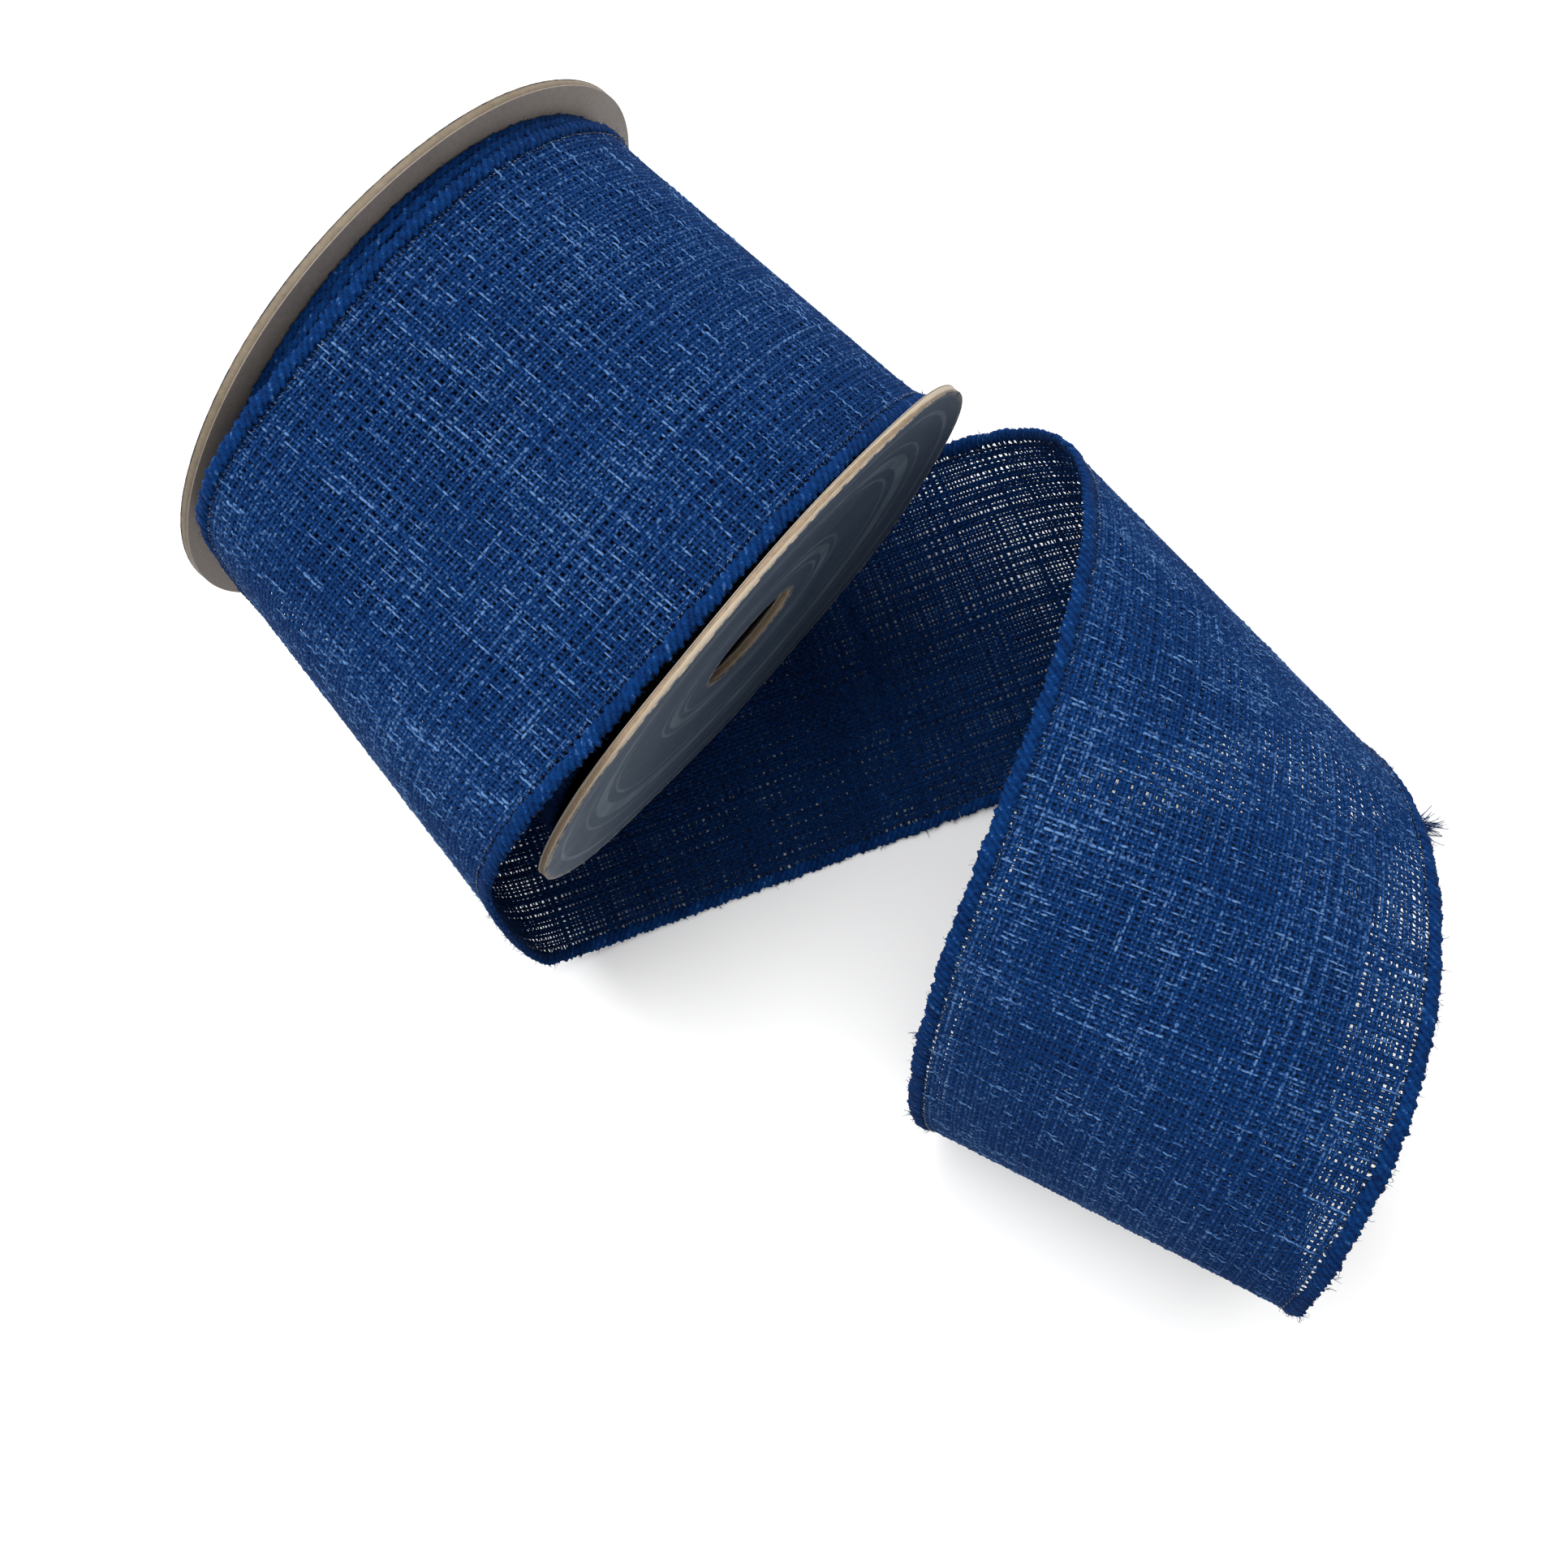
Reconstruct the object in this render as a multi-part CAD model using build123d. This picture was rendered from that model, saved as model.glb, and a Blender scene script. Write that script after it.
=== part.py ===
"""Wire-edged ribbon on a cardboard spool, with its free end drawn off and lying in a loose curl.

Millimetres.  The origin is the middle of the spindle bore.  +X runs along the bore towards the
printed front flange and +Z is up.  The spool lies on its flange rims, so the table is below it.
Every wound piece turns about X.  A turn angle is measured from the top of the pack, and grows
the way the ribbon comes off: over the top towards -Y and down.
"""
from build123d import *
import math
import os

# ---- spool ----
FLANGE_RADIUS = 46.5
BORE_RADIUS = 9.1
BOARD_THICK = 1.1            # grey board of a flange
PAPER_THICK = 0.15           # face paper or liner paper
FLANGE_GAP = 63.6            # between the two liner papers at the hub
HUB_RADIUS = 25.0            # a flange is flat out to here
FRONT_FLARE = 1.6            # how far the front rim leans outwards
BACK_FLARE = 0.3
CORE_RADIUS = 22.0
CORE_WALL = 2.2
GLUE_LEG = 1.6               # leg of the glue fillet inside the core
TAPE_THICK = 0.12
TAPE_WIDTH = 18.0
TAPE_ANGLE = 55.0

# ---- ribbon section ----
RIBBON_WIDTH = 62.0
FABRIC_THICK = 0.5
EDGE_WIDTH = 2.6             # overlocked edge
EDGE_THICK = 1.2
WIRE_SIZE = 0.4

# ---- wound pack ----
PACK_START = 22.2            # inner radius of the first turn
TURN_PITCH = 0.88            # radial step of one turn
WOUND_TURNS = 21
WOUND_EDGE_THICK = 0.8       # an overlocked edge pressed flat in the pack
PACK_SHIFT = -0.8            # the pack sits against the back flange

# ---- free end ----
WRAP_RADIUS = 42.3           # middle of the last turn, which lies loose over the pack
WRAP_SHIFT = 0.8             # the last turn has moved over towards the front flange
WRAP_BACK = 100.0            # degrees of the last turn behind the top of the pack
STATION_STEP = 3.0           # spacing of the cross sections
SMOOTHING = 7                # stations over which a change of bend is eased

# The lengths that the free end is divided into, each with the distance past the top where it ends.
LENGTHS = (("wrap", 60.0), ("drop", 197.0), ("curl", 340.0), ("end", 500.0))

# Stretches of the free end, from the top of the pack: length, turn in degrees, and lean, the
# angle in degrees that the bending lines have swung away from square at the end of the stretch.
STRETCHES = (
    (28.0, 9.5, 8.0),        # over the shoulder of the pack
    (24.0, 66.5, 14.0),      # leaving the pack
    (47.0, 8.5, 25.0),       # falling
    (36.0, 92.0, 0.0),       # first bend, at the table
    (62.0, 9.5, 28.0),       # lying on the table, under the front flange
    (70.0, 96.0, 22.0),      # second bend, up again
    (52.0, 54.5, 28.0),      # rising
    (42.0, 71.0, 13.0),      # crest
    (50.0, 49.0, -25.0),     # falling
    (34.0, 69.5, 20.0),      # third bend, at the table
    (28.0, 29.5, 43.0),      # settling
    (21.0, -5.0, 12.0),      # lying on the table to the cut end
)

HALF_GAP = FLANGE_GAP / 2


def ring_of(points):
    """A solid turned about X from a closed outline of (x, radius) points."""
    outline = make_face(Polyline(*points, close=True).edges())
    return revolve(outline, Axis.X)


def flange_ply(side, inset, thick, flare):
    """One ply of a flange: flat at the hub, and leaning outwards from there to its rim."""
    near = side * (HALF_GAP + inset)
    far = side * (HALF_GAP + inset + thick)
    lean = side * flare
    return ring_of([
        (near, BORE_RADIUS), (near, HUB_RADIUS), (near + lean, FLANGE_RADIUS),
        (far + lean, FLANGE_RADIUS), (far, HUB_RADIUS), (far, BORE_RADIUS),
    ])


def make_flange(name, side, flare):
    """The liner paper, the board and the face paper of one flange."""
    return {
        name + "_liner_paper": flange_ply(side, 0.0, PAPER_THICK, flare),
        name + "_flange_board": flange_ply(side, PAPER_THICK, BOARD_THICK, flare),
        name + "_face_paper": flange_ply(side, PAPER_THICK + BOARD_THICK, PAPER_THICK, flare),
    }


def make_core():
    """The winding tube, the glue fillets that hold it to the flanges, and the starting tape."""
    inner = CORE_RADIUS - CORE_WALL
    tube = ring_of([(-HALF_GAP, inner), (-HALF_GAP, CORE_RADIUS),
                    (HALF_GAP, CORE_RADIUS), (HALF_GAP, inner)])
    front_glue = ring_of([(HALF_GAP, inner), (HALF_GAP, inner - GLUE_LEG),
                          (HALF_GAP - GLUE_LEG, inner)])
    tape = Polyline((PACK_SHIFT - TAPE_WIDTH / 2, CORE_RADIUS),
                    (PACK_SHIFT + TAPE_WIDTH / 2, CORE_RADIUS),
                    (PACK_SHIFT + TAPE_WIDTH / 2, CORE_RADIUS + TAPE_THICK),
                    (PACK_SHIFT - TAPE_WIDTH / 2, CORE_RADIUS + TAPE_THICK), close=True)
    return {
        "core_tube": tube,
        "front_glue_fillet": front_glue,
        "back_glue_fillet": front_glue.mirror(Plane.YZ),
        "start_tape": revolve(make_face(tape.edges()), Axis.X, TAPE_ANGLE),
    }


def coil_arcs(start_radius, pivot):
    """The half circles of a coil that grows by TURN_PITCH a turn, in the plane across the bore."""
    arcs = []
    for half in range(2 * WOUND_TURNS):
        radius = start_radius + half * TURN_PITCH / 2
        centre = (pivot + (half % 2) * TURN_PITCH / 2, 0)
        first = 180 if half % 2 else 0
        arcs.append(CenterArc(centre, radius, first, 180))
    return arcs


def wound_strip(left, right, thick):
    """A strip wound on the core, between two places along X, in the middle of its turn's room."""
    inner_radius = PACK_START + (WOUND_EDGE_THICK - thick) / 2
    inner = coil_arcs(inner_radius, 0.0)
    outer = coil_arcs(inner_radius + thick, 0.0)
    start = Line(inner[0] @ 0, outer[0] @ 0)
    end = Line(inner[-1] @ 1, outer[-1] @ 1)
    outline = make_face(Wire([start, *inner, end, *outer]))
    across = Plane(origin=(left, 0, 0), x_dir=(0, 1, 0), z_dir=(1, 0, 0))
    coil = extrude(across * outline, right - left, dir=(1, 0, 0))
    # the outer end of the coil lies under the start of the loose turn
    return coil.rotate(Axis.X, WRAP_BACK + 90.0)


def make_pack():
    """The wound length: cloth, an overlocked edge along each side, and the wire inside it."""
    left = PACK_SHIFT - RIBBON_WIDTH / 2
    right = PACK_SHIFT + RIBBON_WIDTH / 2
    wire_left = left + EDGE_WIDTH + WIRE_SIZE
    wire_right = right - EDGE_WIDTH - WIRE_SIZE
    return {
        "wound_cloth": wound_strip(wire_left, wire_right, FABRIC_THICK),
        "wound_back_wire": wound_strip(left + EDGE_WIDTH, wire_left, WIRE_SIZE),
        "wound_front_wire": wound_strip(wire_right, right - EDGE_WIDTH, WIRE_SIZE),
        "wound_back_edge": wound_strip(left, left + EDGE_WIDTH, WOUND_EDGE_THICK),
        "wound_front_edge": wound_strip(right - EDGE_WIDTH, right, WOUND_EDGE_THICK),
    }


def table_at(distance, marks, values):
    """Straight-line interpolation in a short table, held at its ends."""
    for low, high, a, b in zip(marks, marks[1:], values, values[1:]):
        if distance <= high:
            return a + (b - a) * max(0.0, distance - low) / (high - low)
    return values[-1]


def eased(values):
    """Values with each change spread over SMOOTHING stations, by a bell-shaped weight."""
    reach = SMOOTHING // 2
    weights = [1 + math.cos(math.pi * step / (reach + 1)) for step in range(-reach, reach + 1)]
    padded = [values[0]] * reach + list(values) + [values[-1]] * reach
    return [sum(w * padded[i + j] for j, w in enumerate(weights)) / sum(weights)
            for i in range(len(values))]


def ribbon_stations():
    """The ribbon's middle line as stations: distance, place, along, bending line and normal.

    The ribbon is a flat strip that only bends.  At each station it turns about its bending line,
    which lies across the strip, square to it or leaning by the stated angle.
    """
    back = math.radians(WRAP_BACK) * WRAP_RADIUS
    lengths, turns, leans = zip((back, WRAP_BACK, 0.0), *STRETCHES)
    marks = [sum(lengths[:i]) for i in range(len(lengths) + 1)]
    turned = [math.radians(sum(turns[:i])) for i in range(len(turns) + 1)]
    steps = round(marks[-1] / STATION_STEP)
    step = marks[-1] / steps
    distances = [i * step for i in range(steps + 1)]
    angle = [table_at(d, marks, turned) for d in distances]
    bends = eased([b - a for a, b in zip(angle, angle[1:])])
    slopes = eased([math.tan(math.radians(table_at(d, marks, (0.0, *leans)))) for d in distances])

    begin = math.radians(-WRAP_BACK)
    place = Vector(WRAP_SHIFT, -WRAP_RADIUS * math.sin(begin), WRAP_RADIUS * math.cos(begin))
    along = Vector(0, -math.cos(begin), -math.sin(begin))
    across = Vector(1, 0, 0)
    stations = []
    for i, distance in enumerate(distances):
        bending_line = across + along * slopes[i]
        stations.append((distance - back, place, along, bending_line, along.cross(across)))
        if i < steps:
            pivot = Axis(origin=(0, 0, 0), direction=bending_line)
            turn = math.degrees(bends[i])
            new_along = along.rotate(pivot, turn)
            across = across.rotate(pivot, turn)
            place = place + (along + new_along) * (step / 2)
            along = new_along
    return stations


def laid_strip(stations, left, right, thick):
    """A strip of the free end, between two distances across it, lofted along the stations."""
    sections = []
    for _, place, _, bending_line, normal in stations:
        corners = [place + bending_line * v + normal * (n * thick / 2)
                   for v, n in ((left, -1), (right, -1), (right, 1), (left, 1))]
        sections.append(Wire.make_polygon(corners, close=True))
    return Solid.make_loft(sections, ruled=True)


def make_free_end(name, stations):
    """Cloth, overlocked edges and edge wires of one length of the free end."""
    half = RIBBON_WIDTH / 2
    wire_outer = half - EDGE_WIDTH
    wire_inner = wire_outer - WIRE_SIZE
    return {
        name + "_cloth": laid_strip(stations, -wire_inner, wire_inner, FABRIC_THICK),
        name + "_back_wire": laid_strip(stations, -wire_outer, -wire_inner, WIRE_SIZE),
        name + "_front_wire": laid_strip(stations, wire_inner, wire_outer, WIRE_SIZE),
        name + "_back_edge": laid_strip(stations, -half, -wire_outer, EDGE_THICK),
        name + "_front_edge": laid_strip(stations, wire_outer, half, EDGE_THICK),
    }


def make_all():
    """Every node of the spool and its ribbon, by name."""
    stations = ribbon_stations()
    nodes = {}
    nodes.update(make_flange("front", 1, FRONT_FLARE))
    nodes.update(make_flange("back", -1, BACK_FLARE))
    nodes.update(make_core())
    nodes.update(make_pack())
    first = 0
    for name, limit in LENGTHS:
        last = max(i for i, station in enumerate(stations) if station[0] <= limit)
        nodes.update(make_free_end(name, stations[first:last + 1]))
        first = last
    return nodes


os.makedirs("parts", exist_ok=True)
for node_name, solid in make_all().items():
    solid.label = node_name
    export_step(solid, f"parts/{node_name}.step")
    print(f"{node_name:20s} {solid.volume:10.1f} mm3")
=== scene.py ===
"""Visible pieces, finishes, stage and camera for a wire-edged ribbon on a cardboard spool.

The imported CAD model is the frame.  Lengths in the property groups are in metres.  The mesh code
works in millimetres and turns its points into metres when it makes a mesh.
"""

import math

import bpy
import numpy as np
from bpy.props import FloatProperty, FloatVectorProperty, IntProperty, PointerProperty
from bpy.types import Operator, Panel, PropertyGroup
from mathutils import Matrix, Vector


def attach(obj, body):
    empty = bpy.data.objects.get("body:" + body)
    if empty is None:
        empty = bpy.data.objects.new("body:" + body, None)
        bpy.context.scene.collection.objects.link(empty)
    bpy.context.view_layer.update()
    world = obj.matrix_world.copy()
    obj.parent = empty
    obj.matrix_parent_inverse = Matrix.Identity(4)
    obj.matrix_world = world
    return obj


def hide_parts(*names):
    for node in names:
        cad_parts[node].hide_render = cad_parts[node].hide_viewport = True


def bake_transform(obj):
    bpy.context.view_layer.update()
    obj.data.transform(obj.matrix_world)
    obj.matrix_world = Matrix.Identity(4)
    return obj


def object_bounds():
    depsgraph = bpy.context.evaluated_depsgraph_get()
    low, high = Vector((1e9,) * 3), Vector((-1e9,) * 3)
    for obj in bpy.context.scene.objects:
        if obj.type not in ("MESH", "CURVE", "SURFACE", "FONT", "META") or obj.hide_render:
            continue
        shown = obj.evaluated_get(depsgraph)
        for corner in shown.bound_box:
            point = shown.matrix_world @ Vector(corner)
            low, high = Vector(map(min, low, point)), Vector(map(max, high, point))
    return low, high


bl_info = {
    "name": "Wire-Edged Ribbon Spool",
    "version": (1, 0, 0),
    "blender": (4, 5, 0),
    "location": "View3D > Sidebar > Ribbon",
    "description": "Builds a woven ribbon, its spool and a plain stage around the packed frame",
    "category": "Add Mesh",
}

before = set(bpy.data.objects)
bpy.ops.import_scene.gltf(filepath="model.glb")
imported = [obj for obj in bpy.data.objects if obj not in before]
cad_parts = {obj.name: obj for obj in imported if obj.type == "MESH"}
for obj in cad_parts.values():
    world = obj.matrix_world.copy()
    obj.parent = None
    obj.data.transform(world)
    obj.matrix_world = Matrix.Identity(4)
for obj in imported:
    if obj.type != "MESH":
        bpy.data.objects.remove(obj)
CAD_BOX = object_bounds()

MM = 0.001
TURN = 2 * math.pi

# ---- the ribbon's route, in millimetres and degrees, as the CAD part lays it ----
WRAP_RADIUS = 42.3
WRAP_SHIFT = 0.8
WRAP_BACK = 100.0
STATION_STEP = 3.0
SMOOTHING = 7
STRETCHES = (                # length, turn, and lean of the bending lines at its end
    (28.0, 9.5, 8.0), (24.0, 66.5, 14.0), (47.0, 8.5, 25.0), (36.0, 92.0, 0.0),
    (62.0, 9.5, 28.0), (70.0, 96.0, 22.0), (52.0, 54.5, 28.0), (42.0, 71.0, 13.0),
    (50.0, 49.0, -25.0), (34.0, 69.5, 20.0), (28.0, 29.5, 43.0), (21.0, -5.0, 12.0),
)
LENGTHS = (("wrap", 60.0), ("drop", 197.0), ("curl", 340.0), ("end", 500.0))

# ---- the ribbon's section ----
HALF_WIDTH = 31.0
EDGE_WIDTH = 2.6
EDGE_THICK = 1.2
EDGE_MIDDLE = HALF_WIDTH - EDGE_WIDTH / 2
CLOTH_THICK = 0.5
CLOTH_HALF = 28.3            # the warp reaches this far from the middle
WEFT_HALF = CLOTH_HALF + 0.8     # and the weft's ends lie inside the overlocked edges
WIRE_PLACE = 29.40           # middle of a wire, inside the overlocked thread
BORDER_PLACE = 28.15         # fine clear stitches along the inner border of an edge
BORDER_PITCH = 0.78
BORDER_STITCH = 0.42         # length of one of them
WIRE_RADIUS = 0.2

# ---- the yarns ----
CROSSING_RISE = 0.105        # a yarn goes this far over and under its neighbours
SLUB_RISE = 0.13             # a slub stands this much higher
BUNCHING = 0.20              # yarns of a group draw together by this share of their pitch
JITTER = 0.055               # and stray from their places by this share
STREAK_SHARE = 0.009         # streaks of the warp on each square millimetre
CLOSENESS = (                # distance along the ribbon, and a factor on its yarns' width there
    (25.0, 1.08), (38.0, 1.26), (70.0, 1.22), (102.0, 0.93), (150.0, 0.97), (175.0, 1.05),
    (205.0, 0.92), (245.0, 0.95), (285.0, 1.10),
)

# ---- the cut end ----
END_MARGIN = 8.0             # the slanted cut reaches no further than this past its middle
WEFT_SHORT = 1.3             # the last weft yarn lies this far short of the cut
FRAY_LENGTH = 12.0           # the warp is drawn out to its frayed ends over this last stretch
WIRE_OUT = 1.4               # the wires stick out this far

# ---- the winding ----
PACK_OUTER = 40.75           # middle of the outer wound turn
PACK_PITCH = 0.88
PACK_SHIFT = -0.8
EDGE_LIFT = 0.45             # the thick edges of the turns below lift the loose turn's sides
EDGE_LIFT_REACH = 3.5        # how far in from the edges they do
WRAP_CREEP = 1.0             # the loose turn has crept this far towards the leaning front rim
LOOSE_END = 55.0             # the lift and the creep have died away here
LOOSE_RUN = 40.0             # and do so over this length
START_SINK = 0.85            # the loose turn starts this much lower, close on the winding
START_SINK_END = -52.0       # and has risen to its own height here
EDGE_TURNS = 4               # wound turns whose edges can be seen beside the flanges
COIL_END = 260.0             # turn angle of the winding's outer end, under the loose turn
OUTER_TURNS = 1.25           # turns of the winding's edges that have moved outwards
OUTER_RUN = 0.30             # part of a turn over which they do
BACK_ROW = -31.25            # the back edges of the outer turns lie side by side, first here
BACK_ROW_STEP = 1.25         # and this much further inwards on the outermost turn
BACK_ROW_HALF = 0.72         # half width of such an edge
FRONT_CREEP = 0.6            # the outermost front edge lies this much nearer the flange
FLUFF_SHARE = 1.1            # short fibres for each cross section of an overlocked edge

# ---- the spool ----
HALF_GAP = 31.8
HUB_RADIUS = 25.0
FLANGE_RADIUS = 46.5
BORE_RADIUS = 9.1
BOARD_THICK = 1.10
PAPER_THICK = 0.15
BOARD_MIDDLE = HALF_GAP + PAPER_THICK + BOARD_THICK / 2
FRONT_FLARE = 1.6            # how far the front rim leans outwards
BACK_FLARE = 0.3
MOTIF_RINGS = (              # radius and half width
    (14.5, 0.25), (17.0, 0.9), (19.5, 0.25), (30.0, 0.2), (33.5, 1.3), (37.0, 0.2), (42.6, 0.35),
)

# ---- the stage, in metres ----
FLOOR_DROP = 0.00015         # the floor lies this far below the part
LIGHT_AIM = (0.05, 0.0, 0.0)
LIGHTS = (                   # name, place, length of a side and watts
    ("key", (-0.52, 0.20, 1.05), 1.2, 28.5),
    ("fill", (0.5, -0.3, 1.2), 1.0, 4.0),
)
CAMERA_PLACE = (0.06319, -0.01323, 0.25196)
CAMERA_RIGHT = (0.75502, 0.65474, -0.03553)
CAMERA_UP = (-0.65402, 0.75585, 0.03077)


# ---------------------------------------------------------------- settings

def colour(name, description, default):
    return FloatVectorProperty(name=name, description=description, default=default,
                               subtype="COLOR", size=3, min=0.0, max=1.0)


def length(name, description, default):
    return FloatProperty(name=name, description=description, default=default, min=0.0,
                         unit="LENGTH", subtype="DISTANCE", precision=5)


class RibbonSettings(PropertyGroup):
    """The woven ribbon: its yarns, edges and colours."""

    weft_pitch: length("Weft pitch", "Middle to middle of two weft yarns", 0.70 * MM)
    warp_pitch: length("Warp pitch", "Middle to middle of two warp yarns", 0.70 * MM)
    weft_width: length("Weft width", "Width of a weft yarn, flattened in the cloth", 0.60 * MM)
    warp_width: length("Warp width", "Width of a warp yarn, flattened in the cloth", 0.59 * MM)
    yarn_thickness: length("Yarn thickness", "Thickness of a flattened yarn", 0.26 * MM)
    stitch_pitch: length("Stitch pitch", "Step of the overlocked stitches", 1.15 * MM)
    slub_share: FloatProperty(name="Slubs", description="Slubs on each square millimetre",
                              default=0.10, min=0.0, max=1.0)
    dark: colour("Shade", "Yarn in the shade of its neighbours", (0.0002, 0.005, 0.032))
    mid: colour("Yarn", "Main colour of the yarn", (0.0008, 0.0235, 0.104))
    light: colour("Slub", "Bright slubs and streaks", (0.095, 0.200, 0.400))
    seed: IntProperty(name="Seed", description="Seed of the yarns' unevenness", default=7)


class SpoolSettings(PropertyGroup):
    """The cardboard spool."""

    board: colour("Board", "Raw grey-brown board", (0.215, 0.155, 0.100))
    # painted shade: the back flange's cut edge is a darker copy of the front board
    shaded_back_board: colour("Back board", "Cut edge of the back flange", (0.150, 0.118, 0.082))
    ply: colour("Outer ply", "Pale outer ply of the board", (0.360, 0.300, 0.225))
    liner: colour("Liner", "Paper on the inside of a flange", (0.300, 0.260, 0.225))
    print_ground: colour("Print", "Printed paper on the outside", (0.041, 0.066, 0.104))
    print_line: colour("Motif", "Rings of the printed motif", (0.130, 0.170, 0.215))
    warp_height: length("Warp", "How far a flange's rim waves in and out", 0.35 * MM)


class StageSettings(PropertyGroup):
    """Floor, lights and camera."""

    floor: colour("Floor", "Colour of the floor", (0.93, 0.93, 0.93))
    size: length("Floor size", "Length of the floor's side", 6.0)
    lens: FloatProperty(name="Lens", description="Focal length of the camera", default=39.13,
                        unit="CAMERA", min=1.0)
    sky: FloatProperty(name="Sky", description="Strength of the white surroundings",
                       default=0.34, min=0.0)


# ---------------------------------------------------------------- node groups and materials

def new_group(name, inputs, outputs):
    """A shader node group with named sockets, and its input and output nodes."""
    kinds = {"colour": "NodeSocketColor", "value": "NodeSocketFloat",
             "vector": "NodeSocketVector"}
    group = bpy.data.node_groups.new(name, "ShaderNodeTree")
    for label, kind, default in inputs:
        socket = group.interface.new_socket(label, in_out="INPUT", socket_type=kinds[kind])
        if default is not None:
            socket.default_value = default
    for label, kind in outputs:
        group.interface.new_socket(label, in_out="OUTPUT", socket_type=kinds[kind])
    return group, group.nodes.new("NodeGroupInput"), group.nodes.new("NodeGroupOutput")


def feed(tree, socket, value):
    """Gives a socket a plain number, a plain colour or a link."""
    if isinstance(value, (int, float)):
        socket.default_value = value
    elif isinstance(value, (tuple, list)):
        socket.default_value = (*value[:3], 1.0)
    else:
        tree.links.new(value, socket)


def noise_node(tree, vector, scale, detail=3.0, roughness=0.55):
    """A noise texture on a vector, and its 0 to 1 factor."""
    node = tree.nodes.new("ShaderNodeTexNoise")
    node.inputs["Detail"].default_value = detail
    node.inputs["Roughness"].default_value = roughness
    feed(tree, node.inputs["Scale"], scale)
    tree.links.new(vector, node.inputs["Vector"])
    return node.outputs["Fac"]


def math_node(tree, operation, first, second=0.0, third=0.0, clamp=False):
    """A math node on sockets or plain numbers."""
    node = tree.nodes.new("ShaderNodeMath")
    node.operation = operation
    node.use_clamp = clamp
    for socket, value in zip(node.inputs, (first, second, third)):
        feed(tree, socket, value)
    return node.outputs[0]


def range_node(tree, value, low, high, to_low=0.0, to_high=1.0):
    """Maps low..high to to_low..to_high, held at both ends."""
    node = tree.nodes.new("ShaderNodeMapRange")
    tree.links.new(value, node.inputs["Value"])
    for label, number in (("From Min", low), ("From Max", high),
                          ("To Min", to_low), ("To Max", to_high)):
        node.inputs[label].default_value = number
    return node.outputs["Result"]


def mix_node(tree, factor, first, second, blend="MIX"):
    """A colour mix of two colours or sockets."""
    node = tree.nodes.new("ShaderNodeMix")
    node.data_type = "RGBA"
    node.blend_type = blend
    for label, value in (("Factor", factor), ("A", first), ("B", second)):
        socket = next(s for s in node.inputs if s.name == label and s.enabled)
        feed(tree, socket, value)
    return next(s for s in node.outputs if s.enabled)


def scaled(tree, vector, factors):
    """A vector times three numbers."""
    node = tree.nodes.new("ShaderNodeVectorMath")
    node.operation = "MULTIPLY"
    node.inputs[1].default_value = factors
    tree.links.new(vector, node.inputs[0])
    return node.outputs[0]


def separated(tree, vector):
    """The three parts of a vector."""
    node = tree.nodes.new("ShaderNodeSeparateXYZ")
    tree.links.new(vector, node.inputs[0])
    return node.outputs


def yarn_group():
    """Colour and fibre height of dyed yarn, from the tone stored on the mesh."""
    group, ins, outs = new_group(
        "Dyed Yarn",
        [("Tone", "value", 0.5), ("Coordinates", "vector", None), ("Shade", "colour", None),
         ("Yarn", "colour", None), ("Slub", "colour", None), ("Fibre Scale", "value", 2600.0)],
        [("Color", "colour"), ("Height", "value")])
    where = ins.outputs["Coordinates"]
    fibre = noise_node(group, where, ins.outputs["Fibre Scale"], 3.0, 0.5)
    patches = noise_node(group, where, 55.0, 4.0)
    specks = range_node(group, fibre, 0.30, 0.72, -0.20, 0.17)
    drift = range_node(group, patches, 0.30, 0.70, -0.08, 0.06)
    tone = math_node(group, "ADD", ins.outputs["Tone"], specks)
    tone = math_node(group, "ADD", tone, drift, clamp=True)
    low = mix_node(group, range_node(group, tone, 0.0, 0.5), ins.outputs["Shade"],
                   ins.outputs["Yarn"])
    full = mix_node(group, range_node(group, tone, 0.57, 1.05), low, ins.outputs["Slub"])
    group.links.new(full, outs.inputs["Color"])
    group.links.new(fibre, outs.inputs["Height"])
    return group


def paper_group():
    """Fibre specks and felt height of paper and board."""
    group, ins, outs = new_group(
        "Paper Fibre",
        [("Coordinates", "vector", None), ("Colour", "colour", None), ("Contrast", "value", 0.2),
         ("Scale", "value", 1200.0)],
        [("Color", "colour"), ("Height", "value"), ("Roughness", "value")])
    where = ins.outputs["Coordinates"]
    felt = noise_node(group, where, ins.outputs["Scale"], 6.0, 0.65)
    clouds = noise_node(group, where, 90.0, 5.0)
    swing = math_node(group, "SUBTRACT", felt, 0.5)
    cloud = math_node(group, "SUBTRACT", clouds, 0.5)
    total = math_node(group, "ADD", swing, math_node(group, "MULTIPLY", cloud, 0.6))
    lift = math_node(group, "MULTIPLY", total, ins.outputs["Contrast"])
    gain = math_node(group, "ADD", math_node(group, "MULTIPLY", lift, 2.0), 1.0)
    bright = group.nodes.new("ShaderNodeVectorMath")
    bright.operation = "SCALE"
    group.links.new(ins.outputs["Colour"], bright.inputs[0])
    group.links.new(gain, bright.inputs["Scale"])
    group.links.new(bright.outputs[0], outs.inputs["Color"])
    group.links.new(felt, outs.inputs["Height"])
    group.links.new(range_node(group, clouds, 0.3, 0.7, 0.55, 0.8), outs.inputs["Roughness"])
    return group


def shared_group(name, builder):
    """A node group that is built the first time a material needs it."""
    return bpy.data.node_groups.get(name) or builder()


def new_material(name, **constants):
    """A material with a Principled shader, plain values set on its own sockets."""
    material = bpy.data.materials.new(name)
    material.use_nodes = True
    shader = material.node_tree.nodes["Principled BSDF"]
    for label, value in constants.items():
        shader.inputs[label.replace("_", " ")].default_value = value
    return material, material.node_tree, shader


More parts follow.
